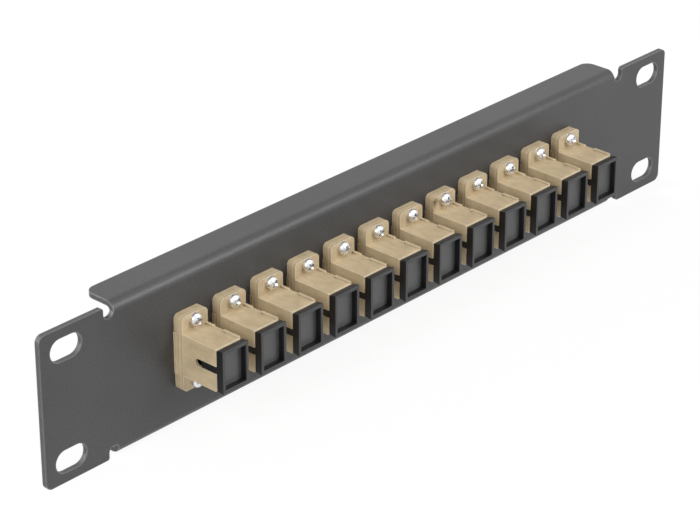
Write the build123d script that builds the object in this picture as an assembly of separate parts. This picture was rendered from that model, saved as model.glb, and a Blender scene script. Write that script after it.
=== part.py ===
from build123d import *
import os

# Fibre patch panel, one rack unit high, for a ten inch rack.
# A folded steel front panel carries a row of flanged adapters, each held by two small screws.
# Each adapter is two welded shells around two latch inserts and a split alignment sleeve,
# and a dust cap closes its socket on each side.
# Millimetres. The origin is the centre of the panel on its front face.
# +X runs along the panel, +Y goes into the rack, +Z is up.

# Rack slots
rack_slot_spacing_x = 236.525
rack_slot_spacing_z = 31.75
rack_slot_length = 10.5
rack_slot_width = 6.5
rack_slot_to_end = 8.7375

# Panel sheet
panel_height = 44.0
sheet_thickness = 1.5
bend_inner_radius = 1.3
fold_depth = 11.0
fold_corner_radius = 3.0
ear_width = 21.5
ear_corner_radius = 2.0
ear_inner_corner_radius = 0.8
relief_width = 3.5
relief_past_bend = 0.8

# Row of adapters
port_count = 12
port_pitch = 14.0
cutout_clearance = 0.2

# Socket inside a shell, and the walls around it
socket_width = 7.5
socket_height = 9.1
hook_channel_width = 4.6
hook_channel_depth = 0.9
body_side_wall = 0.8
body_end_wall = 0.7
adapter_length = 27.4
body_edge_bevel = 0.3
key_slot_width = 1.9
key_slot_length = 7.6

# Raised strips on the right edge of a front shell's top
strip_width = 0.8
strip_height = 0.25
rear_strip_length = 2.8
front_strip_length = 5.8
strip_pocket_width = 0.5
strip_pocket_length = 1.2

# Flange, moulded half on each shell
flange_side_step = 0.1
flange_end_margin = 2.0
flange_front_layer = 0.9
flange_rear_layer = 2.1
flange_corner_cut = 1.4
flange_pad_reach = 0.4
flange_pad_height = 12.0
flange_pad_thickness = 1.0

# Alignment sleeves
ferrule_radius = 1.25
sleeve_wall = 0.35
sleeve_length = 11.4
sleeve_slit = 0.5
sleeve_clearance = 0.05
sleeve_end_clearance = 0.2

# Latch inserts
insert_shoulder = 0.25
insert_plate_thickness = 1.2
insert_clearance = 0.05
sleeve_holder_wall = 0.8
sleeve_lip_length = 0.8
sleeve_lip_height = 0.3
hook_inset = 0.25
hook_arm_thickness = 0.6
hook_arm_width = 2.4
hook_reach = 6.5
hook_head_width = 3.6
hook_head_length = 0.9
hook_head_drop = 0.6
hook_head_lead = 0.4

# Dust caps
cap_side_step = 0.05
cap_end_overhang = 0.15
cap_side_rim = 0.95
cap_end_rim = 1.15
cap_recess_depth = 1.9
cap_web = 0.4
cap_floor = 1.0
cap_plug_wall = 0.9
cap_clearance = 0.1
cap_to_hook = 0.6

# Screws that go through a flange into a tapped hole of the panel
screw_radius = 1.0
screw_length = 6.0
screw_head_radius = 1.9
screw_head_height = 1.4
screw_to_body = 0.95
thread_clearance = 0.03
flange_hole_clearance = 0.15

# Flats on the small round features, which are few because hundreds of them repeat
round_flats = 12
screw_flats = 8
sleeve_flats = 8

# Extra length of a cut past the face that it opens
cut_past = 1.0

# Sizes and places that follow from the ones above
panel_length = rack_slot_spacing_x + 2 * rack_slot_to_end
panel_edge_z = panel_height / 2
bend_outer_radius = bend_inner_radius + sheet_thickness
relief_depth = bend_outer_radius + relief_past_bend
fold_half_length = panel_length / 2 - ear_width - relief_width
hook_channel_height = socket_height + 2 * hook_channel_depth
body_width = socket_width + 2 * body_side_wall
body_height = hook_channel_height + 2 * body_end_wall
screw_spacing = body_height + 2 * (screw_head_radius + screw_to_body)
flange_width = body_width + 2 * flange_side_step
flange_height = screw_spacing + 2 * flange_end_margin
flange_thickness = flange_front_layer + flange_rear_layer
parting_y = -flange_rear_layer
flange_front_y = -flange_thickness
adapter_middle_y = -flange_thickness / 2
body_front_y = adapter_middle_y - adapter_length / 2
body_rear_y = adapter_middle_y + adapter_length / 2
insert_plate_width = socket_width + 2 * insert_shoulder
insert_plate_height = hook_channel_height + 2 * insert_shoulder
insert_front_y = adapter_middle_y - insert_plate_thickness
insert_rear_y = adapter_middle_y + insert_plate_thickness
sleeve_radius = ferrule_radius + sleeve_wall
sleeve_bore_radius = sleeve_radius + sleeve_clearance
sleeve_holder_radius = sleeve_bore_radius + sleeve_holder_wall
sleeve_holder_bore_y = adapter_middle_y - sleeve_length / 2 - sleeve_end_clearance
sleeve_holder_front_y = sleeve_holder_bore_y - sleeve_lip_length
hook_inner_z = socket_height / 2 - hook_inset
hook_outer_z = hook_inner_z + hook_arm_thickness
hook_tip_y = insert_front_y - hook_reach
cap_seat_y = body_front_y - cap_clearance
cap_face_y = cap_seat_y - cap_recess_depth - cap_web
cap_recess_floor_y = cap_face_y + cap_recess_depth
cap_plug_end_y = hook_tip_y - cap_to_hook
cap_head_width = body_width - 2 * cap_side_step
cap_head_height = body_height + 2 * cap_end_overhang
cap_plug_width = socket_width - 2 * cap_clearance
cap_plug_height = socket_height - 2 * cap_clearance


def port_x(number):
    """Distance of a port's centre from the panel's centre, for ports counted from 1."""
    return (number - (port_count + 1) / 2) * port_pitch


def prism(outline, y_behind, y_ahead):
    """A flat outline in X and Z, made solid from a plane behind to a plane ahead of it."""
    plane = Plane(origin=(0, y_behind, 0), x_dir=(1, 0, 0), z_dir=(0, -1, 0))
    return extrude(plane * outline, amount=y_behind - y_ahead)


def side_prism(outline, x_left, x_right):
    """A flat outline in Y and Z, made solid from a plane on the left to one on the right."""
    return extrude(Plane.YZ.offset(x_left) * outline, amount=x_right - x_left)


def round_bar(radius, flats=round_flats):
    """A small round outline, just inside its circle."""
    return RegularPolygon(radius, flats)


def round_hole(radius, flats=round_flats):
    """A small round hole, just outside its circle, so that a round piece passes."""
    return RegularPolygon(radius, flats, major_radius=False)


def facing_rear(piece):
    """The same piece on the other half of an adapter, mirrored across its middle."""
    return mirror(piece, about=Plane.XZ.offset(-adapter_middle_y))


def screw_holes(radius):
    """The holes for both screws of one adapter, above and below its body."""
    hole = round_hole(radius, screw_flats)
    return Pos(0, screw_spacing / 2) * hole + Pos(0, -screw_spacing / 2) * hole


def channel_face(inset, radius):
    """The channel's end view with its front corners rounded, drawn in from its outside."""
    depth = fold_depth - inset
    height = panel_height - 2 * inset
    face = Pos(inset + depth / 2, 0) * Rectangle(depth, height)
    front_corners = face.vertices().group_by(Axis.X)[0]
    return fillet(front_corners, radius)


def folded_middle():
    """The stretch between the ears, folded back above and below, with rounded corners."""
    section = channel_face(0, bend_outer_radius) - channel_face(sheet_thickness, bend_inner_radius)
    channel = side_prism(section, -fold_half_length, fold_half_length)
    rear_corners = channel.edges().filter_by(Axis.Z).group_by(Axis.Y)[-1]
    return fillet(rear_corners, fold_corner_radius)


def relief(side):
    """The round-ended notch that frees the end of a fold from the ear."""
    x = fold_half_length + relief_width / 2
    end_z = panel_edge_z - relief_depth + relief_width / 2
    height = relief_depth + cut_past
    notch = Pos(x, end_z + height / 2) * Rectangle(relief_width, height)
    notch += Pos(x, end_z) * Circle(relief_width / 2)
    return notch if side > 0 else mirror(notch, about=Plane.XZ)


def ear_outline():
    """The right ear, which joins the folded stretch between its two reliefs."""
    width = ear_width + relief_width
    ear = Pos(fold_half_length + width / 2, 0) * Rectangle(width, panel_height)
    ear = fillet(ear.vertices().group_by(Axis.X)[-1], ear_corner_radius)
    for side in (1, -1):
        ear -= relief(side)
        slot_place = Pos(rack_slot_spacing_x / 2, side * rack_slot_spacing_z / 2)
        ear -= slot_place * SlotOverall(rack_slot_length, rack_slot_width)
    edge_corners = ear.vertices().group_by(Axis.Y)
    inner_corners = [edge_corners[0].sort_by(Axis.X)[0], edge_corners[-1].sort_by(Axis.X)[0]]
    return fillet(inner_corners, ear_inner_corner_radius)


def adapter_opening():
    """The cut-out for one body with the tapped holes for its screws."""
    width = body_width + 2 * cutout_clearance
    height = body_height + 2 * cutout_clearance
    return Rectangle(width, height) + screw_holes(screw_radius)


def make_panel():
    ear = prism(ear_outline(), sheet_thickness, 0)
    panel = folded_middle() + ear + mirror(ear, about=Plane.YZ)
    opening = prism(adapter_opening(), sheet_thickness + cut_past, -cut_past)
    return panel - in_a_row(opening)


def half_body():
    """The front half of an adapter's box, bevelled round its mouth."""
    body = prism(Rectangle(body_width, body_height), adapter_middle_y, body_front_y)
    mouth = body.faces().sort_by(Axis.Y)[0]
    return chamfer(mouth.edges(), body_edge_bevel)


def flange_layer(y_behind, y_ahead):
    """One layer of the flange with its two screw holes."""
    outline = Rectangle(flange_width, flange_height)
    outline = chamfer(outline.vertices(), flange_corner_cut)
    outline -= screw_holes(screw_radius + flange_hole_clearance)
    return prism(outline, y_behind, y_ahead)


def edge_strips():
    """Two raised strips along the right edge of the body's top."""
    x = (body_width - strip_width) / 2
    strip = Pos(x, body_height / 2) * Rectangle(strip_width, 2 * strip_height)
    behind = prism(strip, flange_front_y, flange_front_y - rear_strip_length)
    ahead = prism(strip, body_front_y + front_strip_length, body_front_y + body_edge_bevel)
    return behind + ahead


def strip_pocket():
    """The shallow pocket beside the start of the front strip."""
    x = body_width / 2 - strip_width - strip_pocket_width / 2
    start_y = body_front_y + front_strip_length
    pocket = Pos(x, body_height / 2) * Rectangle(strip_pocket_width, 2 * strip_height)
    return prism(pocket, start_y, start_y - strip_pocket_length)


def key_slot():
    """The open slot for a connector's key, round at its inner end, in the left wall."""
    end_y = body_front_y + key_slot_length - key_slot_width / 2
    length = end_y - body_front_y + cut_past
    outline = Pos(end_y - length / 2, 0) * Rectangle(length, key_slot_width)
    outline += Pos(end_y, 0) * round_bar(key_slot_width / 2)
    return side_prism(outline, -body_width, 0)


def socket_space(y_behind, y_ahead):
    """The space for a connector's plug, with a channel that the latch hooks flex in."""
    outline = Rectangle(socket_width, socket_height)
    outline += Rectangle(hook_channel_width, hook_channel_height)
    return prism(outline, y_behind, y_ahead)


def insert_seat(y_behind, y_ahead):
    """The pocket that the plates of the latch inserts are clamped in."""
    width = insert_plate_width + 2 * insert_clearance
    height = insert_plate_height + 2 * insert_clearance
    return prism(Rectangle(width, height), y_behind, y_ahead)


def make_front_shell():
    """The shell ahead of the parting line, with the thin layer of the flange."""
    shell = half_body() + edge_strips() - strip_pocket()
    shell -= prism(Rectangle(body_width, body_height), adapter_middle_y, parting_y)
    shell += flange_layer(parting_y, flange_front_y)
    shell -= socket_space(parting_y, body_front_y - cut_past)
    shell -= insert_seat(parting_y, insert_front_y)
    return shell - key_slot()


def make_rear_shell():
    """The shell that goes through the panel, with the thick layer and its side pads."""
    pad_outline = Rectangle(flange_width + 2 * flange_pad_reach, flange_pad_height)
    shell = facing_rear(half_body()) + flange_layer(0, parting_y)
    shell += prism(pad_outline, 0, -flange_pad_thickness)
    shell -= socket_space(body_rear_y + cut_past, parting_y - cut_past)
    shell -= insert_seat(insert_rear_y, parting_y - cut_past)
    return shell - facing_rear(key_slot())


def latch_hook():
    """A springy arm beside the socket, with a wider head that holds a connector."""
    arm_z = (hook_inner_z + hook_outer_z) / 2
    arm = Pos(0, arm_z) * Rectangle(hook_arm_width, hook_arm_thickness)
    head_start_y = hook_tip_y + hook_head_length
    head_inner_z = hook_inner_z - hook_head_drop
    head = Polyline(
        (hook_tip_y, hook_outer_z),
        (hook_tip_y, hook_inner_z),
        (hook_tip_y + hook_head_lead, head_inner_z),
        (head_start_y, head_inner_z),
        (head_start_y, hook_outer_z),
        close=True,
    )
    arm_solid = prism(arm, insert_front_y, head_start_y)
    return arm_solid + side_prism(make_face(head), -hook_head_width / 2, hook_head_width / 2)


def make_front_insert():
    """A plate that the shells clamp, with the sleeve's holder and two latch hooks."""
    insert = prism(Rectangle(insert_plate_width, insert_plate_height), adapter_middle_y, insert_front_y)
    holder = round_bar(sleeve_holder_radius, sleeve_flats)
    insert += prism(holder, adapter_middle_y, sleeve_holder_front_y)
    hook = latch_hook()
    insert += hook
    insert += mirror(hook, about=Plane.XY)
    bore = round_hole(sleeve_bore_radius, sleeve_flats)
    insert -= prism(bore, adapter_middle_y, sleeve_holder_bore_y)
    lip_hole = round_hole(sleeve_bore_radius - sleeve_lip_height, sleeve_flats)
    return insert - prism(lip_hole, adapter_middle_y, sleeve_holder_front_y)


def make_sleeve():
    """A tube of spring bronze, slit along its length."""
    ring = round_bar(sleeve_radius, sleeve_flats) - round_hole(ferrule_radius, sleeve_flats)
    ring -= Pos(0, sleeve_radius) * Rectangle(sleeve_slit, 2 * sleeve_radius)
    half_length = sleeve_length / 2
    return prism(ring, adapter_middle_y + half_length, adapter_middle_y - half_length)


def make_front_cap():
    """A dust cap: a recessed head outside the socket and a hollow plug inside it."""
    cap = prism(Rectangle(cap_head_width, cap_head_height), cap_seat_y, cap_face_y)
    cap += prism(Rectangle(cap_plug_width, cap_plug_height), cap_plug_end_y, cap_seat_y)
    recess = Rectangle(cap_head_width - 2 * cap_side_rim, cap_head_height - 2 * cap_end_rim)
    cap -= prism(recess, cap_recess_floor_y, cap_face_y)
    hollow = Rectangle(cap_plug_width - 2 * cap_plug_wall, cap_plug_height - 2 * cap_plug_wall)
    return cap - prism(hollow, cap_plug_end_y, cap_recess_floor_y + cap_floor)


def make_screw():
    """A screw's head on the flange and its shank, without thread or cross recess."""
    head = prism(round_bar(screw_head_radius), flange_front_y, flange_front_y - screw_head_height)
    shank_outline = round_bar(screw_radius - thread_clearance, screw_flats)
    return head + prism(shank_outline, flange_front_y + screw_length, flange_front_y)


def in_a_row(piece):
    """Copies of one piece, one for each port, from left to right."""
    return [Pos(port_x(number), 0, 0) * piece for number in range(1, port_count + 1)]


def at_both_screws(screw):
    """The upper and the lower screw of every adapter."""
    upper = Pos(0, 0, screw_spacing / 2) * screw
    lower = Pos(0, 0, -screw_spacing / 2) * screw
    return in_a_row(upper) + in_a_row(lower)


def save(name, piece):
    export_step(piece, os.path.join("parts", name + ".step"))


def save_group(name, pieces):
    """Writes separate solids that share one file."""
    save(name, Compound(pieces))


def save_each(name, piece):
    """Writes one file for each port, numbered from the left."""
    for number, copy in enumerate(in_a_row(piece), start=1):
        save(f"port_{number:02d}_{name}", copy)


os.makedirs("parts", exist_ok=True)
front_insert = make_front_insert()
front_cap = make_front_cap()
save("panel", make_panel())
save_each("front_shell", make_front_shell())
save_each("rear_shell", make_rear_shell())
save_each("front_cap", front_cap)
save_each("rear_cap", facing_rear(front_cap))
save_group("front_latch_inserts", in_a_row(front_insert))
save_group("rear_latch_inserts", in_a_row(facing_rear(front_insert)))
save_group("alignment_sleeves", in_a_row(make_sleeve()))
save_group("flange_screws", at_both_screws(make_screw()))
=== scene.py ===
import math

import bmesh
import bpy
from mathutils import Matrix, Vector


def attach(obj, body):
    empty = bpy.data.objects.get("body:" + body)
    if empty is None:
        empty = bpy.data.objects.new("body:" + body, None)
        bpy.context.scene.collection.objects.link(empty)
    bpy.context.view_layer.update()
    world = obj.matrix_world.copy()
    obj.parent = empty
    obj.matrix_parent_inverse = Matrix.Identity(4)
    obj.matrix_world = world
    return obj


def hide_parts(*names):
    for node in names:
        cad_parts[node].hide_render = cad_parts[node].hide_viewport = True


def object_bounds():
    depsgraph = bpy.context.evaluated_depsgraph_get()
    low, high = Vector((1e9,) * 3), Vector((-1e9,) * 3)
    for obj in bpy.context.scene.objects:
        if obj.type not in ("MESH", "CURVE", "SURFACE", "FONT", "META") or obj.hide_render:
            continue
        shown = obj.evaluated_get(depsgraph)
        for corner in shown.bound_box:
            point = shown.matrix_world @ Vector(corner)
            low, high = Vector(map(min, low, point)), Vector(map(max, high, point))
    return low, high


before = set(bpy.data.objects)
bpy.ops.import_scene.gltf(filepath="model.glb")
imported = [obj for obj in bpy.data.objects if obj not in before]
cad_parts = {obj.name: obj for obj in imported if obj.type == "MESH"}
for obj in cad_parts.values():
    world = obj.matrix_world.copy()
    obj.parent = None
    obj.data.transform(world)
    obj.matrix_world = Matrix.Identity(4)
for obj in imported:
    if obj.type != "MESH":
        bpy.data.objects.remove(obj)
solid_low, solid_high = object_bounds()

# Fibre patch panel for a ten inch rack: the finish of every piece.
# Metres, in the frame of the solids: +X along the panel, +Y into the rack, +Z up,
# with the origin in the middle of the panel's front face.
mm = 0.001
root_body = "panel_and_adapters"

# Row of ports
port_count = 12
port_pitch = 14 * mm
adapter_middle_y = -1.5 * mm

# Screws
screw_spacing = 18 * mm
flange_front_y = -3 * mm
screw_head_radius = 1.88 * mm
screw_head_height = 1.75 * mm
screw_head_side = 0.3
screw_radius = 0.97 * mm
screw_length = 6 * mm
thread_pitch = 0.4 * mm
thread_height = 0.18 * mm
threaded_length = 3.2 * mm
recess_reach = 1.3 * mm
recess_width_share = 0.3
recess_length_share = 1.4
recess_floor_share = 0.6
recess_depth = 1.1 * mm
recess_height_share = 1.02
screw_turn_seed = 7

# How finely a screw is drawn
head_sides = 32
dome_steps = 8
shank_sides = 24
thread_steps = 16

# Latch inserts and sleeves
insert_width = 8.0 * mm
insert_height = 11.4 * mm
insert_thickness = 1.2 * mm
hook_reach = 6.5 * mm
hook_inner_z = 4.3 * mm
hook_thickness = 0.6 * mm
hook_width = 2.4 * mm
hook_head_width = 3.6 * mm
hook_head_length = 0.9 * mm
hook_head_drop = 0.6 * mm
hook_head_lead = 0.4 * mm
ferrule_radius = 1.25 * mm
sleeve_radius = 1.6 * mm
sleeve_length = 11.4 * mm
sleeve_slit = 0.5 * mm
sleeve_clearance = 0.05 * mm
holder_radius = 2.45 * mm
holder_bore_reach = 5.9 * mm
holder_lip_length = 0.8 * mm
holder_lip_height = 0.3 * mm
holder_sides = 32
sleeve_sides = 40

# Edges, as a moulder and a punch leave them
panel_edge_round = 0.15 * mm
shell_edge_round = 0.08 * mm
cap_edge_round = 0.16 * mm
insert_edge_round = 0.08 * mm
sleeve_edge_round = 0.04 * mm
edge_steps = 2
flat_to_degrees = 0.5
rounded_from_degrees = 40
smooth_to_degrees = 33
screw_smooth_to_degrees = 35

# Flange of a shell. Its corners are cut and then rounded.
flange_half_width = 4.65 * mm
flange_half_height = 11.0 * mm
flange_corner_cut = 0.85 * mm
flange_corner_round = 0.4 * mm
flange_corner_steps = 4
flange_corner_from_z = 8 * mm
flange_corner_degrees = (40, 50)
flange_pad_half_width = 4.88 * mm
flange_end_from_z = 9 * mm
flange_side_from_x = 3 * mm

# Strips on a shell's top, and the slot for a plug's key on its left
strip_top = 6.52 * mm
strip_top_zone = (6.3 * mm, 6.5 * mm)
key_slot_half_width = 1.08 * mm
key_slot_half_width_in_solid = 0.95 * mm
key_slot_rise = 0.08 * mm
key_slot_reach_z = 1 * mm
key_slot_from_x = 3.7 * mm

# Dust caps. The head narrows towards the shell, and a rib on the plug fills the key slot.
cap_head_back = 13.8 * mm
cap_half_height_back = 5.85 * mm
cap_half_height_front = 6.25 * mm
cap_right_shift = 0.38 * mm
cap_head_top_from_z = 6 * mm
cap_head_right_from_x = 3.5 * mm
cap_head_right_from_z = 5 * mm
key_rib_inner_x = 3.6 * mm
key_rib_outer_x = 4.45 * mm
key_rib_half_width = 0.98 * mm
key_rib_end = 8.3 * mm
key_rib_overlap = 0.05 * mm

# How near two places are to count as the same in a mesh, and in the choice of its corners
weld_distance = 0.002 * mm
near = 0.1 * mm

# Sockets of a Mix and a Random Value node that share a name, by their number
colour_a, colour_b, colour_result = 6, 7, 2
value_a, value_b = 2, 3
random_low, random_high, random_result = 2, 3, 1

# View of the photograph, in pixels, millimetres and degrees
view_width = 700
focal_pixels = 2712.5
sensor_width_mm = 36.0
seen_from = 0.05
seen_to = 20.0
camera_place = Vector((-503.1, -450.9, 337.3)) * mm
camera_heading = 47.28
camera_pitch = 26.88
camera_roll = 0.075

# Stage, in metres and watts: each lamp's place, width and power. All of them face the panel.
floor_reach = 4.0
floor_glow = 0.9
world_fill = 0.3
lamps = {
    "key": ((0.4, -0.86, 0.56), 0.6, 7.1),
    "top": ((0.1, -0.4, 1.0), 0.6, 2.1),
    "left_fill": ((-0.8, -0.12, 0.55), 0.5, 4.3),
    "rear_fill": ((-0.25, 1.0, 0.45), 0.6, 8.5),
    "rear_left_fill": ((-0.7, 0.85, 0.14), 0.6, 7.0),
}


def linear(hex_colour):
    """The linear colour that a shader takes, from a colour as it looks on a screen."""
    channels = [int(hex_colour[i:i + 2], 16) / 255 for i in (1, 3, 5)]
    return (*[c / 12.92 if c <= 0.04045 else ((c + 0.055) / 1.055) ** 2.4 for c in channels], 1.0)


def add_node(tree, kind, links=None, **settings):
    """Adds one node with its settings.

    Each link names a socket, and gives its value, the socket it comes from, a node that
    stands for its first output, or a list of such sources for a socket that takes many.
    """
    node = tree.nodes.new(kind)
    for name, value in settings.items():
        setattr(node, name, value)
    for socket, sources in (links or {}).items():
        for source in sources if isinstance(sources, list) else [sources]:
            if isinstance(source, bpy.types.Node):
                source = source.outputs[0]
            if isinstance(source, bpy.types.NodeSocket):
                tree.links.new(source, node.inputs[socket])
            else:
                node.inputs[socket].default_value = source
    return node


# Finishes


def new_material(name):
    material = bpy.data.materials.new(name)
    material.use_nodes = True
    material.node_tree.nodes.clear()
    return material, material.node_tree


def painted_edge_highlight(tree, reach):
    """How near a point is to an outer edge, from 0 to 1. The colour is painted paler there, as a
    painted highlight.
    """
    inside = add_node(
        tree, "ShaderNodeAmbientOcclusion", {"Distance": reach},
        samples=6, inside=True, only_local=True)
    share = {"Value": inside.outputs["AO"], "From Min": 1.0, "From Max": 0.5}
    return add_node(tree, "ShaderNodeMapRange", share)


def powder_coat():
    """Powder coat baked on steel: neutral dark grey and satin.

    It has the fine orange peel of melted grains, and its edges are painted paler, a painted
    highlight.
    """
    material, tree = new_material("dark_grey_powder_coat_on_steel")
    place = add_node(tree, "ShaderNodeTexCoord").outputs["Object"]
    # Real grains are 0.05 mm. The peel they leave is drawn 0.7 mm wide, the least that shows.
    peel = add_node(tree, "ShaderNodeTexNoise", {
        "Vector": place, "Scale": 1 / (0.7 * mm), "Detail": 3.0, "Roughness": 0.6})
    # The coat's thickness drifts over 30 mm or so.
    drift = add_node(tree, "ShaderNodeTexNoise", {
        "Vector": place, "Scale": 1 / (30 * mm), "Detail": 2.0})
    fleck = add_node(tree, "ShaderNodeMix", {
        "Factor": peel, colour_a: linear("#212122"), colour_b: linear("#434344")},
        data_type="RGBA")
    tone = add_node(tree, "ShaderNodeMix", {
        "Factor": 0.3, colour_a: fleck.outputs[colour_result], colour_b: drift},
        data_type="RGBA", blend_type="SOFT_LIGHT")
    # Painted highlight: the coat's colour is painted paler near its outer edges.
    thin = add_node(tree, "ShaderNodeMix", {
        "Factor": painted_edge_highlight(tree, 0.35 * mm),
        colour_a: tone.outputs[colour_result], colour_b: linear("#6e6e6f")},
        data_type="RGBA")
    gloss = add_node(tree, "ShaderNodeMapRange", {"Value": peel, "To Min": 0.38, "To Max": 0.5})
    bump = add_node(tree, "ShaderNodeBump", {
        "Height": peel, "Strength": 0.6, "Distance": 0.06 * mm})
    surface = add_node(tree, "ShaderNodeBsdfPrincipled", {
        "Base Color": thin.outputs[colour_result], "Roughness": gloss, "IOR": 1.55,
        "Normal": bump})
    add_node(tree, "ShaderNodeOutputMaterial", {"Surface": surface})
    return material


def moulded_polyester(name, dark, light, edge, roughness, grain_height):
    """Beige filled polyester, injection moulded.

    It has the flow clouds of its filler, edges painted paler as a painted highlight,
    and the fine matt grain of a spark-eroded mould.
    """
    material, tree = new_material(name)
    place = add_node(tree, "ShaderNodeTexCoord").outputs["Object"]
    # Clouds are about 2 mm wide, and are drawn out along the flow.
    flow = add_node(tree, "ShaderNodeMapping", {"Vector": place, "Scale": (1.0, 0.5, 0.7)})
    cloud = add_node(tree, "ShaderNodeTexNoise", {
        "Vector": flow, "Scale": 1 / (2.2 * mm), "Detail": 3.0, "Roughness": 0.6})
    # The real grain is 0.02 mm, and is drawn 0.35 mm wide so that it shows.
    spark = add_node(tree, "ShaderNodeTexNoise", {
        "Vector": place, "Scale": 1 / (0.35 * mm), "Detail": 2.0})
    blend = add_node(tree, "ShaderNodeMix", {"Factor": 0.3, value_a: cloud, value_b: spark})
    share = add_node(tree, "ShaderNodeMapRange", {
        "Value": blend, "From Min": 0.35, "From Max": 0.65})
    tone = add_node(tree, "ShaderNodeMix", {
        "Factor": share, colour_a: linear(dark), colour_b: linear(light)}, data_type="RGBA")
    # Painted highlight: the colour is painted paler near the outer edges.
    edge_highlighted = add_node(tree, "ShaderNodeMix", {
        "Factor": painted_edge_highlight(tree, 0.32 * mm),
        colour_a: tone.outputs[colour_result], colour_b: linear(edge)},
        data_type="RGBA")
    gloss = add_node(tree, "ShaderNodeMapRange", {
        "Value": spark, "To Min": roughness - 0.06, "To Max": roughness + 0.06})
    bump = add_node(tree, "ShaderNodeBump", {
        "Height": spark, "Strength": 0.5, "Distance": grain_height})
    surface = add_node(tree, "ShaderNodeBsdfPrincipled", {
        "Base Color": edge_highlighted.outputs[colour_result], "Roughness": gloss, "IOR": 1.55,
        "Normal": bump})
    add_node(tree, "ShaderNodeOutputMaterial", {"Surface": surface})
    return material


def black_polyethylene():
    """Black polyethylene, injection moulded.

    The sides that slid along the mould are deep black. The rim and the floor of the recess
    are painted greyer, as painted light from the front, and the floor paler than the rim.
    """
    material, tree = new_material("black_moulded_polyethylene")
    source = add_node(tree, "ShaderNodeTexCoord")
    normal = add_node(tree, "ShaderNodeSeparateXYZ", {"Vector": source.outputs["Normal"]})
    across = add_node(tree, "ShaderNodeMath", {0: normal.outputs["Y"]}, operation="ABSOLUTE")
    # Painted light: the faces that look along Y, the rim and the recess's floor, are painted
    # greyer than the sides.
    faces = add_node(tree, "ShaderNodeMapRange", {
        "Value": across, "From Min": 0.8, "From Max": 0.98})
    point = add_node(tree, "ShaderNodeSeparateXYZ", {"Vector": source.outputs["Object"]})
    from_middle = add_node(
        tree, "ShaderNodeMath", {0: point.outputs["Y"], 1: adapter_middle_y},
        operation="SUBTRACT")
    reach = add_node(tree, "ShaderNodeMath", {0: from_middle}, operation="ABSOLUTE")
    # The rim stands 16.1 mm out from the adapter's middle, and the recess's floor lies deeper.
    # Painted light: the recess's floor is painted paler than the rim.
    deep = add_node(tree, "ShaderNodeMapRange", {
        "Value": reach, "From Min": 15.4 * mm, "From Max": 14.8 * mm})
    # The real grain is 0.03 mm, and is drawn 0.3 mm wide so that it shows.
    spark = add_node(tree, "ShaderNodeTexNoise", {
        "Vector": source.outputs["Object"], "Scale": 1 / (0.3 * mm), "Detail": 2.0})
    painted_front_light = add_node(tree, "ShaderNodeMix", {
        "Factor": deep, colour_a: linear("#323233"), colour_b: linear("#4c4c4d")},
        data_type="RGBA")
    tone = add_node(tree, "ShaderNodeMix", {
        "Factor": faces, colour_a: linear("#101011"), colour_b: painted_front_light.outputs[colour_result]},
        data_type="RGBA")
    fleck = add_node(tree, "ShaderNodeMix", {
        "Factor": 0.25, colour_a: tone.outputs[colour_result], colour_b: spark},
        data_type="RGBA", blend_type="SOFT_LIGHT")
    gloss = add_node(tree, "ShaderNodeMapRange", {"Value": spark, "To Min": 0.38, "To Max": 0.5})
    bump = add_node(tree, "ShaderNodeBump", {
        "Height": spark, "Strength": 0.5, "Distance": 0.02 * mm})
    surface = add_node(tree, "ShaderNodeBsdfPrincipled", {
        "Base Color": fleck.outputs[colour_result], "Roughness": gloss, "IOR": 1.5,
        "Normal": bump})
    add_node(tree, "ShaderNodeOutputMaterial", {"Surface": surface})
    return material


def zinc_plated_steel():
    """Bright zinc plate on a turned and rolled steel screw: silver, with faint turning rings."""
    material, tree = new_material("bright_zinc_plated_steel")
    own_place = add_node(
        tree, "ShaderNodeAttribute", attribute_name="own_place").outputs["Vector"]
    # Real rings are 0.1 mm apart. A scale of 1.2 mm draws them 0.4 mm apart, so that they show.
    rings = add_node(
        tree, "ShaderNodeTexWave",
        {"Vector": own_place, "Scale": 1 / (1.2 * mm), "Distortion": 0.5},
        wave_type="RINGS", rings_direction="Z")
    bloom = add_node(tree, "ShaderNodeTexNoise", {
        "Vector": own_place, "Scale": 1 / (0.8 * mm), "Detail": 3.0})
    tone = add_node(tree, "ShaderNodeMix", {
        "Factor": bloom, colour_a: linear("#d2d4d7"), colour_b: linear("#f4f5f6")},
        data_type="RGBA")
    gloss = add_node(tree, "ShaderNodeMapRange", {
        "Value": bloom, "To Min": 0.18, "To Max": 0.36})
    bump = add_node(tree, "ShaderNodeBump", {
        "Height": rings.outputs["Fac"], "Strength": 0.15, "Distance": 0.02 * mm})
    surface = add_node(tree, "ShaderNodeBsdfPrincipled", {
        "Base Color": tone.outputs[colour_result], "Metallic": 1.0, "Roughness": gloss,
        "Normal": bump})
    add_node(tree, "ShaderNodeOutputMaterial", {"Surface": surface})
    return material


def drawn_bronze():
    """Phosphor bronze tube drawn through a die: warm metal with fine lines along its length."""
    material, tree = new_material("drawn_phosphor_bronze")
    place = add_node(tree, "ShaderNodeTexCoord").outputs["Object"]
    along = add_node(tree, "ShaderNodeMapping", {"Vector": place, "Scale": (1.0, 0.03, 1.0)})
    # The die's lines are 0.02 mm apart, and are drawn 0.15 mm apart so that they show.
    lines = add_node(tree, "ShaderNodeTexNoise", {
        "Vector": along, "Scale": 1 / (0.15 * mm), "Detail": 2.0})
    tone = add_node(tree, "ShaderNodeMix", {
        "Factor": lines, colour_a: linear("#b0743f"), colour_b: linear("#dca36a")},
        data_type="RGBA")
    gloss = add_node(tree, "ShaderNodeMapRange", {
        "Value": lines, "To Min": 0.25, "To Max": 0.42})
    surface = add_node(tree, "ShaderNodeBsdfPrincipled", {
        "Base Color": tone.outputs[colour_result], "Metallic": 1.0, "Roughness": gloss})
    add_node(tree, "ShaderNodeOutputMaterial", {"Surface": surface})
    return material


# Meshes


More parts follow.
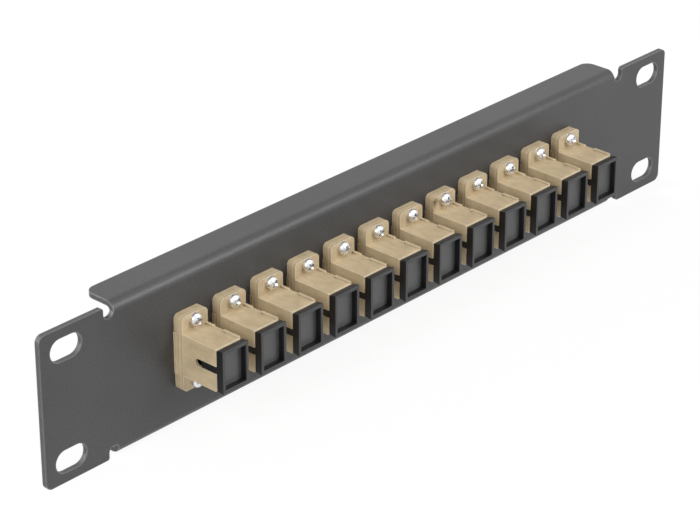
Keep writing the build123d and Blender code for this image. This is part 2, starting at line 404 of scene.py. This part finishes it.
def smooth_within(mesh, degrees):
    """Shades a mesh smooth, apart from the edges that turn by more than the angle."""
    mesh.polygons.foreach_set("use_smooth", [True] * len(mesh.polygons))
    mesh.set_sharp_from_angle(angle=math.radians(degrees))


def new_object(name, mesh):
    piece = bpy.data.objects.new(name, mesh)
    bpy.context.scene.collection.objects.link(piece)
    return piece


def make_plain(piece):
    """Turns a piece and its modifiers into one plain mesh."""
    shown = piece.evaluated_get(bpy.context.evaluated_depsgraph_get())
    mesh = bpy.data.meshes.new_from_object(shown)
    piece.modifiers.clear()
    piece.data = mesh
    return piece


def round_edges(piece, width, measured="OFFSET"):
    """Rounds the sharp edges of a piece, and keeps its flat faces flat."""
    smooth_within(piece.data, smooth_to_degrees)
    bevel = piece.modifiers.new("edges", "BEVEL")
    bevel.width = width
    bevel.offset_type = measured
    bevel.segments = edge_steps
    bevel.limit_method = "ANGLE"
    bevel.angle_limit = math.radians(rounded_from_degrees)
    bevel.use_clamp_overlap = measured == "OFFSET"
    bevel.loop_slide = False
    bevel.harden_normals = True
    return make_plain(piece)


def remove_slivers(piece):
    """Removes the flat triangles that hang on a closed mesh where two of its roundings meet."""
    shape = bmesh.new()
    shape.from_mesh(piece.data)
    bmesh.ops.remove_doubles(shape, verts=shape.verts, dist=weld_distance / 2)
    hanging = [face for face in shape.faces if any(edge.is_boundary for edge in face.edges)]
    bmesh.ops.delete(shape, geom=hanging, context="FACES")
    shape.to_mesh(piece.data)
    shape.free()


def whole_shape(node):
    """A copy of a solid's shape whose flat faces are whole again."""
    shape = bmesh.new()
    shape.from_mesh(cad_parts[node].data)
    bmesh.ops.remove_doubles(shape, verts=shape.verts, dist=weld_distance)
    bmesh.ops.dissolve_limit(
        shape, angle_limit=math.radians(flat_to_degrees), verts=shape.verts, edges=shape.edges)
    return shape


def as_mesh(shape, name):
    mesh = bpy.data.meshes.new(name)
    shape.to_mesh(mesh)
    shape.free()
    return mesh


def dress(piece, material, slot, body, *nodes):
    """Gives a piece its finish and its place in the assembly."""
    piece.data.materials.clear()
    piece.data.materials.append(material)
    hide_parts(*nodes)
    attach(piece, body)


# Panel, shells and caps


def port_x(number):
    return (number - (port_count + 1) / 2) * port_pitch


def make_panel(coat):
    piece = new_object("panel_sheet", as_mesh(whole_shape("panel"), "panel_sheet"))
    round_edges(piece, panel_edge_round, "ABSOLUTE")
    remove_slivers(piece)
    dress(piece, coat, "panel_coat", root_body, "panel")


def trim_shell(shape, x):
    """Gives a shell at x the flange corners, side pads, strips and key slot of the real one."""
    for corner in shape.verts:
        place = corner.co
        out_x, out_z = abs(place.x - x), abs(place.z)
        if out_z > flange_end_from_z and out_x > flange_side_from_x:
            if out_z > flange_half_height - near:
                corner_x = flange_half_width - flange_corner_cut
                place.x = x + math.copysign(corner_x, place.x - x)
            else:
                place.z = math.copysign(flange_half_height - flange_corner_cut, place.z)
        elif strip_top_zone[0] < place.z < strip_top_zone[1]:
            place.z = strip_top
        elif out_x > flange_half_width + near:
            place.x = x + math.copysign(flange_pad_half_width, place.x - x)
        elif out_z < key_slot_reach_z and place.x < x - key_slot_from_x:
            wider = key_slot_half_width / key_slot_half_width_in_solid
            place.z = place.z * wider + key_slot_rise


def round_flange_corners(shape, x):
    """Rounds the cut corners of a flange, which stand well away from its screw holes."""
    corners = []
    for edge in shape.edges:
        along = (edge.verts[1].co - edge.verts[0].co).normalized()
        middle = (edge.verts[0].co + edge.verts[1].co) / 2
        turn = math.degrees(edge.calc_face_angle(0))
        runs_along_y = abs(along.y) > 0.99
        near_end = abs(middle.x - x) > flange_side_from_x and abs(middle.z) > flange_corner_from_z
        turns_by_half = flange_corner_degrees[0] < turn < flange_corner_degrees[1]
        if runs_along_y and near_end and turns_by_half:
            corners.append(edge)
    bmesh.ops.bevel(
        shape, geom=corners, offset=flange_corner_round, offset_type="OFFSET",
        segments=flange_corner_steps, profile=0.5, affect="EDGES")


def make_shell(number, side, plastic):
    node = f"port_{number:02d}_{side}_shell"
    shape = whole_shape(node)
    trim_shell(shape, port_x(number))
    round_flange_corners(shape, port_x(number))
    wide = [face for face in shape.faces if len(face.verts) > 4]
    bmesh.ops.triangulate(shape, faces=wide)
    piece = new_object(f"adapter_{number:02d}_{side}_shell", as_mesh(shape, node))
    round_edges(piece, shell_edge_round)
    dress(piece, plastic, "shell_plastic", root_body, node)


def taper_cap_head(shape, x):
    """Draws a cap's head in towards its shell, and out a little on its right."""
    for corner in shape.verts:
        place = corner.co
        at_back = abs(place.y - adapter_middle_y) < cap_head_back + near
        if abs(place.z) > cap_head_top_from_z:
            half_height = cap_half_height_back if at_back else cap_half_height_front
            place.z = math.copysign(half_height, place.z)
        if place.x > x + cap_head_right_from_x and abs(place.z) > cap_head_right_from_z:
            place.x += cap_right_shift


def add_key_rib(shape, x, facing):
    """The rib on the left of a plug that fills its shell's key slot. facing is -1 to the front."""
    low = (
        x - key_rib_outer_x,
        adapter_middle_y + facing * key_rib_end,
        key_slot_rise - key_rib_half_width)
    high = (
        x - key_rib_inner_x,
        adapter_middle_y + facing * (cap_head_back + key_rib_overlap),
        key_slot_rise + key_rib_half_width)
    middle = (Vector(low) + Vector(high)) / 2
    size = [abs(b - a) for a, b in zip(low, high)]
    placed = Matrix.Translation(middle) @ Matrix.Diagonal((*size, 1.0))
    bmesh.ops.create_cube(shape, size=1.0, matrix=placed)


def make_cap(number, side, plastic):
    node = f"port_{number:02d}_{side}_cap"
    shape = whole_shape(node)
    taper_cap_head(shape, port_x(number))
    add_key_rib(shape, port_x(number), -1 if side == "front" else 1)
    piece = new_object(f"adapter_{number:02d}_{side}_dust_cap", as_mesh(shape, node))
    round_edges(piece, cap_edge_round)
    dress(piece, plastic, "cap_plastic", node, node)


# Shapes that repeat


def new_tree(name, sizes):
    """A geometry tree with one named input for each size, and what its group input gives."""
    tree = bpy.data.node_groups.new(name, "GeometryNodeTree")
    tree.interface.new_socket("Geometry", in_out="OUTPUT", socket_type="NodeSocketGeometry")
    for size, kind in sizes.items():
        tree.interface.new_socket(size, in_out="INPUT", socket_type="NodeSocket" + kind)
    return tree, add_node(tree, "NodeGroupInput").outputs


def grow(name, tree, values, mesh=None):
    """Runs a tree on a piece with these values, and keeps the result as a plain mesh."""
    piece = new_object(name, mesh or bpy.data.meshes.new(name))
    modifier = piece.modifiers.new(tree.name, "NODES")
    modifier.node_group = tree
    for item in tree.interface.items_tree:
        if item.in_out == "INPUT" and item.name in values:
            modifier[item.identifier] = values[item.name]
    return make_plain(piece)


def row_tree():
    """One copy of a shape for each port of the row."""
    tree, given = new_tree("row_of_ports", {
        "Geometry": "Geometry", "Count": "Int", "Pitch": "Float", "Material": "Material"})
    gaps = add_node(tree, "ShaderNodeMath", {0: given["Count"], 1: 1.0}, operation="SUBTRACT")
    length = add_node(tree, "ShaderNodeMath", {0: gaps, 1: given["Pitch"]}, operation="MULTIPLY")
    start_x = add_node(tree, "ShaderNodeMath", {0: length, 1: -0.5}, operation="MULTIPLY")
    start = add_node(tree, "ShaderNodeCombineXYZ", {"X": start_x})
    step = add_node(tree, "ShaderNodeCombineXYZ", {"X": given["Pitch"]})
    places = add_node(
        tree, "GeometryNodeMeshLine",
        {"Count": given["Count"], "Start Location": start, "Offset": step}, mode="OFFSET")
    copies = add_node(tree, "GeometryNodeInstanceOnPoints", {
        "Points": places, "Instance": given["Geometry"]})
    real = add_node(tree, "GeometryNodeRealizeInstances", {"Geometry": copies})
    finish = add_node(tree, "GeometryNodeSetMaterial", {
        "Geometry": real, "Material": given["Material"]})
    add_node(tree, "NodeGroupOutput", {"Geometry": finish})
    return tree


def screw_head(tree, given):
    """A pan head with a cross recess. It stands on the origin and points along -Z."""
    # The head's profile is swept round a circle: its X counts outwards from the rim, and
    # its Y up from the flange.
    axis_x = add_node(
        tree, "ShaderNodeMath", {0: given["Head Radius"], 1: -1.0}, operation="MULTIPLY")
    shoulder_y = add_node(
        tree, "ShaderNodeMath", {0: given["Head Height"], 1: given["Head Side"]},
        operation="MULTIPLY")
    axis = add_node(tree, "ShaderNodeCombineXYZ", {"X": axis_x})
    shoulder = add_node(tree, "ShaderNodeCombineXYZ", {"Y": shoulder_y})
    above_rim = add_node(tree, "ShaderNodeCombineXYZ", {"Y": given["Head Height"]})
    crown = add_node(tree, "ShaderNodeCombineXYZ", {"X": axis_x, "Y": given["Head Height"]})
    under = add_node(tree, "GeometryNodeCurvePrimitiveLine", {
        "Start": axis, "End": (0.0, 0.0, 0.0)})
    side = add_node(tree, "GeometryNodeCurvePrimitiveLine", {
        "Start": (0.0, 0.0, 0.0), "End": shoulder})
    dome = add_node(tree, "GeometryNodeCurveQuadraticBezier", {
        "Resolution": dome_steps, "Start": shoulder, "Middle": above_rim, "End": crown})
    profile = add_node(tree, "GeometryNodeJoinGeometry", {"Geometry": [dome, side, under]})
    rim = add_node(tree, "GeometryNodeCurvePrimitiveCircle", {
        "Resolution": head_sides, "Radius": given["Head Radius"]})
    swept = add_node(tree, "GeometryNodeCurveToMesh", {"Curve": rim, "Profile Curve": profile})
    head = add_node(tree, "GeometryNodeMergeByDistance", {
        "Geometry": swept, "Distance": weld_distance / 2})

    # The recess is two tapered blades at right angles.
    blade_floor_reach = add_node(
        tree, "ShaderNodeMath", {0: given["Recess Reach"], 1: recess_floor_share},
        operation="MULTIPLY")
    blade = add_node(tree, "GeometryNodeMeshCone", {
        "Vertices": 4, "Radius Bottom": given["Recess Reach"],
        "Radius Top": blade_floor_reach, "Depth": given["Recess Depth"]})
    square = add_node(tree, "GeometryNodeTransform", {
        "Geometry": blade, "Rotation": (0.0, 0.0, math.radians(45))})
    blade_z = add_node(
        tree, "ShaderNodeMath", {0: given["Head Height"], 1: -recess_height_share},
        operation="MULTIPLY")
    blade_place = add_node(tree, "ShaderNodeCombineXYZ", {"Z": blade_z})
    blade_scale = add_node(tree, "ShaderNodeCombineXYZ", {
        "X": recess_length_share, "Y": given["Recess Width"], "Z": 1.0})
    thin = add_node(tree, "GeometryNodeTransform", {
        "Geometry": square, "Translation": blade_place, "Scale": blade_scale})
    turned = [
        add_node(tree, "GeometryNodeTransform", {
            "Geometry": thin, "Rotation": (0.0, 0.0, math.radians(turn))})
        for turn in (0.0, 90.0)]
    cross = add_node(tree, "GeometryNodeJoinGeometry", {"Geometry": turned})
    return add_node(
        tree, "GeometryNodeMeshBoolean",
        {"Mesh 1": head, "Mesh 2": cross, "Self Intersection": True},
        operation="DIFFERENCE", solver="EXACT")


def screw_shank(tree, given):
    """A core and one ridge wound round it, as far as it shows, along +Z from the origin."""
    core_radius = add_node(
        tree, "ShaderNodeMath", {0: given["Shank Radius"], 1: given["Thread Height"]},
        operation="SUBTRACT")
    core = add_node(tree, "GeometryNodeMeshCylinder", {
        "Vertices": shank_sides, "Radius": core_radius, "Depth": given["Length"]})
    core_z = add_node(tree, "ShaderNodeMath", {0: given["Length"], 1: 0.5}, operation="MULTIPLY")
    core_place = add_node(tree, "ShaderNodeCombineXYZ", {"Z": core_z})
    placed_core = add_node(tree, "GeometryNodeTransform", {
        "Geometry": core, "Translation": core_place})
    turns = add_node(
        tree, "ShaderNodeMath", {0: given["Threaded Length"], 1: given["Thread Pitch"]},
        operation="DIVIDE")
    helix = add_node(tree, "GeometryNodeCurveSpiral", {
        "Resolution": thread_steps, "Rotations": turns, "Start Radius": core_radius,
        "End Radius": core_radius, "Height": given["Threaded Length"]})
    upright = add_node(tree, "GeometryNodeSetCurveNormal", {"Curve": helix}, mode="Z_UP")
    ridge = add_node(tree, "GeometryNodeCurvePrimitiveCircle", {
        "Resolution": 4, "Radius": given["Thread Height"]})
    thread = add_node(tree, "GeometryNodeCurveToMesh", {
        "Curve": upright, "Profile Curve": ridge, "Fill Caps": True})
    plain_length = add_node(
        tree, "ShaderNodeMath", {0: given["Length"], 1: given["Threaded Length"]},
        operation="SUBTRACT")
    thread_z = add_node(
        tree, "ShaderNodeMath", {0: plain_length, 1: given["Thread Height"]},
        operation="SUBTRACT")
    thread_place = add_node(tree, "ShaderNodeCombineXYZ", {"Z": thread_z})
    placed_thread = add_node(tree, "GeometryNodeTransform", {
        "Geometry": thread, "Translation": thread_place})
    return placed_core, placed_thread


def screw_tree():
    """A pan head screw with a cross recess and a rolled thread, at both ends of every flange."""
    tree, given = new_tree("pan_head_screws", {
        "Head Radius": "Float", "Head Height": "Float", "Head Side": "Float",
        "Shank Radius": "Float", "Length": "Float", "Threaded Length": "Float",
        "Thread Pitch": "Float", "Thread Height": "Float",
        "Recess Reach": "Float", "Recess Width": "Float", "Recess Depth": "Float",
        "Ports": "Int", "Port Pitch": "Float", "Spacing": "Float", "Flange Front": "Float",
        "Seed": "Int", "Material": "Material",
    })
    screw = add_node(tree, "GeometryNodeJoinGeometry", {
        "Geometry": [screw_head(tree, given), *screw_shank(tree, given)]})
    # The plating's pattern follows each screw by its own place.
    own_place = add_node(tree, "GeometryNodeInputPosition")
    marked = add_node(
        tree, "GeometryNodeStoreNamedAttribute",
        {"Geometry": screw, "Name": "own_place", "Value": own_place},
        data_type="FLOAT_VECTOR", domain="POINT")

    # Two screws stand at each port, and each was driven to its own angle.
    gaps = add_node(tree, "ShaderNodeMath", {0: given["Ports"], 1: 1.0}, operation="SUBTRACT")
    row_length = add_node(
        tree, "ShaderNodeMath", {0: gaps, 1: given["Port Pitch"]}, operation="MULTIPLY")
    grid = add_node(tree, "GeometryNodeMeshGrid", {
        "Size X": row_length, "Size Y": given["Spacing"],
        "Vertices X": given["Ports"], "Vertices Y": 2})
    grid_place = add_node(tree, "ShaderNodeCombineXYZ", {"Y": given["Flange Front"]})
    upright_grid = add_node(tree, "GeometryNodeTransform", {
        "Geometry": grid, "Translation": grid_place, "Rotation": (math.radians(90), 0.0, 0.0)})
    driven = add_node(
        tree, "FunctionNodeRandomValue",
        {random_low: 0.0, random_high: math.tau, "Seed": given["Seed"]}, data_type="FLOAT")
    facing = add_node(tree, "ShaderNodeCombineXYZ", {
        "X": math.radians(-90), "Y": driven.outputs[random_result]})
    screws = add_node(tree, "GeometryNodeInstanceOnPoints", {
        "Points": upright_grid, "Instance": marked, "Rotation": facing})
    real = add_node(tree, "GeometryNodeRealizeInstances", {"Geometry": screws})
    finish = add_node(tree, "GeometryNodeSetMaterial", {
        "Geometry": real, "Material": given["Material"]})
    add_node(tree, "NodeGroupOutput", {"Geometry": finish})
    return tree


def make_screws(metal):
    piece = grow("flange_screws_turned", screw_tree(), {
        "Head Radius": screw_head_radius,
        "Head Height": screw_head_height,
        "Head Side": screw_head_side,
        "Shank Radius": screw_radius,
        "Length": screw_length,
        "Threaded Length": threaded_length,
        "Thread Pitch": thread_pitch,
        "Thread Height": thread_height,
        "Recess Reach": recess_reach,
        "Recess Width": recess_width_share,
        "Recess Depth": recess_depth,
        "Ports": port_count,
        "Port Pitch": port_pitch,
        "Spacing": screw_spacing,
        "Flange Front": flange_front_y,
        "Seed": screw_turn_seed,
        "Material": metal,
    })
    smooth_within(piece.data, screw_smooth_to_degrees)
    dress(piece, metal, "screw_plating", root_body, "flange_screws")


def add_prism(shape, loops, start, end, axis="Y"):
    """A closed prism along an axis. The first loop is its outline, and any others are holes."""
    edges = []
    for loop in loops:
        points = [(a, start, b) if axis == "Y" else (start, a, b) for a, b in loop]
        corners = [shape.verts.new(p) for p in points]
        edges += [shape.edges.new((corners[i - 1], corners[i])) for i in range(len(corners))]
    filled = bmesh.ops.triangle_fill(shape, use_beauty=True, edges=edges)
    faces = [item for item in filled["geom"] if isinstance(item, bmesh.types.BMFace)]
    grown = bmesh.ops.extrude_face_region(shape, geom=faces, use_keep_orig=True)
    moved = [item for item in grown["geom"] if isinstance(item, bmesh.types.BMVert)]
    travel = (0, end - start, 0) if axis == "Y" else (end - start, 0, 0)
    bmesh.ops.translate(shape, vec=travel, verts=moved)


def box_loop(width, height):
    x, z = width / 2, height / 2
    return [(-x, -z), (x, -z), (x, z), (-x, z)]


def round_loop(radius, start=0.0, end=math.tau, steps=holder_sides):
    """Points round a circle. A whole one doesn't repeat its first point."""
    whole = abs(end - start - math.tau) < 1e-6
    count = steps if whole else steps + 1
    angles = [start + (end - start) * i / steps for i in range(count)]
    return [(radius * math.cos(a), radius * math.sin(a)) for a in angles]


def latch_insert(facing):
    """The plate that two shells clamp, with a sleeve holder and both latch hooks.

    facing is -1 to the front.
    """
    shape = bmesh.new()
    plate_y = adapter_middle_y + facing * insert_thickness
    bore_y = adapter_middle_y + facing * holder_bore_reach
    lip_y = bore_y + facing * holder_lip_length
    bore = sleeve_radius + sleeve_clearance
    plate = [box_loop(insert_width, insert_height), round_loop(bore)]
    holder = [round_loop(holder_radius), round_loop(bore)]
    lip = [round_loop(holder_radius), round_loop(bore - holder_lip_height)]
    add_prism(shape, plate, adapter_middle_y, plate_y)
    add_prism(shape, holder, plate_y, bore_y)
    add_prism(shape, lip, bore_y, lip_y)
    tip_y = plate_y + facing * hook_reach
    head_y = tip_y - facing * hook_head_length
    lead_y = tip_y - facing * (hook_head_length - hook_head_lead)
    for side in (1, -1):
        inner, outer = side * hook_inner_z, side * (hook_inner_z + hook_thickness)
        catch = side * (hook_inner_z - hook_head_drop)
        arm = [(plate_y, inner), (head_y, inner), (head_y, outer), (plate_y, outer)]
        head = [
            (tip_y, outer), (tip_y, inner), (lead_y, catch), (head_y, catch), (head_y, outer)]
        add_prism(shape, [arm], -hook_width / 2, hook_width / 2, axis="X")
        add_prism(shape, [head], -hook_head_width / 2, hook_head_width / 2, axis="X")
    bmesh.ops.recalc_face_normals(shape, faces=shape.faces)
    return as_mesh(shape, "latch_insert")


def split_sleeve():
    """A spring tube, slit along its top."""
    shape = bmesh.new()
    outer_gap = math.asin(sleeve_slit / 2 / sleeve_radius)
    inner_gap = math.asin(sleeve_slit / 2 / ferrule_radius)
    top = math.radians(90)
    top_again = top + math.tau
    outer = round_loop(sleeve_radius, top + outer_gap, top_again - outer_gap, sleeve_sides)
    inner = round_loop(ferrule_radius, top + inner_gap, top_again - inner_gap, sleeve_sides)
    start_y = adapter_middle_y - sleeve_length / 2
    end_y = adapter_middle_y + sleeve_length / 2
    add_prism(shape, [outer + inner[::-1]], start_y, end_y)
    bmesh.ops.recalc_face_normals(shape, faces=shape.faces)
    return as_mesh(shape, "split_sleeve")


def make_row(name, tree, mesh, edge_round, material, slot, node):
    """Rounds the edges of one shape, and sets a copy of it in every port."""
    one = round_edges(new_object(name + "_one", mesh), edge_round)
    single = one.data
    bpy.data.objects.remove(one)
    piece = grow(
        name, tree, {"Count": port_count, "Pitch": port_pitch, "Material": material}, single)
    dress(piece, material, slot, root_body, node)


# Stage


def seen_directly(tree):
    """1 for a ray of the camera, of a reflection or of a view through glass, and 0 for light."""
    rays = add_node(tree, "ShaderNodeLightPath")
    seen = add_node(
        tree, "ShaderNodeMath",
        {0: rays.outputs["Is Camera Ray"], 1: rays.outputs["Is Glossy Ray"]},
        operation="MAXIMUM")
    return add_node(
        tree, "ShaderNodeMath", {0: seen, 1: rays.outputs["Is Transmission Ray"]},
        operation="MAXIMUM")


def make_floor():
    """White paper: it shows as a white ground, and keeps a soft shadow."""
    material, tree = new_material("white_paper_ground")
    share = add_node(
        tree, "ShaderNodeMath", {0: seen_directly(tree), 1: floor_glow}, operation="MULTIPLY")
    paper = add_node(tree, "ShaderNodeBsdfDiffuse", {"Color": linear("#fbfbfb")})
    glow = add_node(tree, "ShaderNodeEmission", {"Color": linear("#ffffff"), "Strength": 1.0})
    both = add_node(tree, "ShaderNodeMixShader", {0: share, 1: paper, 2: glow})
    add_node(tree, "ShaderNodeOutputMaterial", {"Surface": both})
    shape = bmesh.new()
    bmesh.ops.create_grid(shape, x_segments=1, y_segments=1, size=floor_reach)
    bmesh.ops.translate(shape, vec=(0, 0, solid_low.z), verts=shape.verts)
    floor = new_object("ground", as_mesh(shape, "ground"))
    floor.data.materials.append(material)


def make_world():
    """An even studio fill. A white ground shows to the camera and in reflections."""
    world = bpy.data.worlds.new("studio")
    world.use_nodes = True
    tree = world.node_tree
    tree.nodes.clear()
    fill = add_node(tree, "ShaderNodeBackground", {
        "Color": linear("#ffffff"), "Strength": world_fill})
    white = add_node(tree, "ShaderNodeBackground", {
        "Color": linear("#ffffff"), "Strength": 1.0})
    both = add_node(tree, "ShaderNodeMixShader", {0: seen_directly(tree), 1: fill, 2: white})
    add_node(tree, "ShaderNodeOutputWorld", {"Surface": both})
    bpy.context.scene.world = world


def add_lamp(name, place, size, power):
    """A soft round lamp that faces the panel."""
    lamp = bpy.data.lights.new(name, "AREA")
    lamp.shape = "DISK"
    lamp.size = size
    lamp.energy = power
    holder = bpy.data.objects.new(name, lamp)
    holder.location = place
    holder.rotation_euler = (-Vector(place)).to_track_quat("-Z", "Y").to_euler()
    bpy.context.scene.collection.objects.link(holder)


def make_camera():
    """The photograph's view, as it was read from the panel's slots and edges."""
    lens = bpy.data.cameras.new("view")
    lens.sensor_width = sensor_width_mm
    lens.lens = focal_pixels / view_width * sensor_width_mm
    lens.clip_start = seen_from
    lens.clip_end = seen_to
    camera = bpy.data.objects.new("view", lens)
    turn = Matrix.Rotation(math.radians(-camera_heading), 4, "Z")
    turn = turn @ Matrix.Rotation(math.radians(90 - camera_pitch), 4, "X")
    turn = turn @ Matrix.Rotation(math.radians(camera_roll), 4, "Z")
    camera.matrix_world = Matrix.Translation(camera_place) @ turn
    bpy.context.scene.collection.objects.link(camera)
    bpy.context.scene.camera = camera


coat = powder_coat()
# The third colour of each beige is the painted highlight along its edges.
beige = moulded_polyester(
    "beige_moulded_polyester", "#ac9a7b", "#c2ae8c", "#cfc0a4",
    roughness=0.5, grain_height=0.02 * mm)
inner_beige = moulded_polyester(
    "beige_moulded_polyester_inner", "#a08f72", "#b4a283", "#bfae92",
    roughness=0.45, grain_height=0.01 * mm)
black = black_polyethylene()
zinc = zinc_plated_steel()
bronze = drawn_bronze()

make_panel(coat)
for number in range(1, port_count + 1):
    for side in ("front", "rear"):
        make_shell(number, side, beige)
        make_cap(number, side, black)
row = row_tree()
make_row(
    "front_latch_row", row, latch_insert(-1), insert_edge_round,
    inner_beige, "insert_plastic", "front_latch_inserts")
make_row(
    "rear_latch_row", row, latch_insert(1), insert_edge_round,
    inner_beige, "insert_plastic", "rear_latch_inserts")
make_row(
    "sleeve_row", row, split_sleeve(), sleeve_edge_round,
    bronze, "sleeve_bronze", "alignment_sleeves")
make_screws(zinc)

make_floor()
make_world()
for name, (place, size, power) in lamps.items():
    add_lamp(name, place, size, power)
make_camera()
bpy.context.scene.view_settings.view_transform = "Standard"
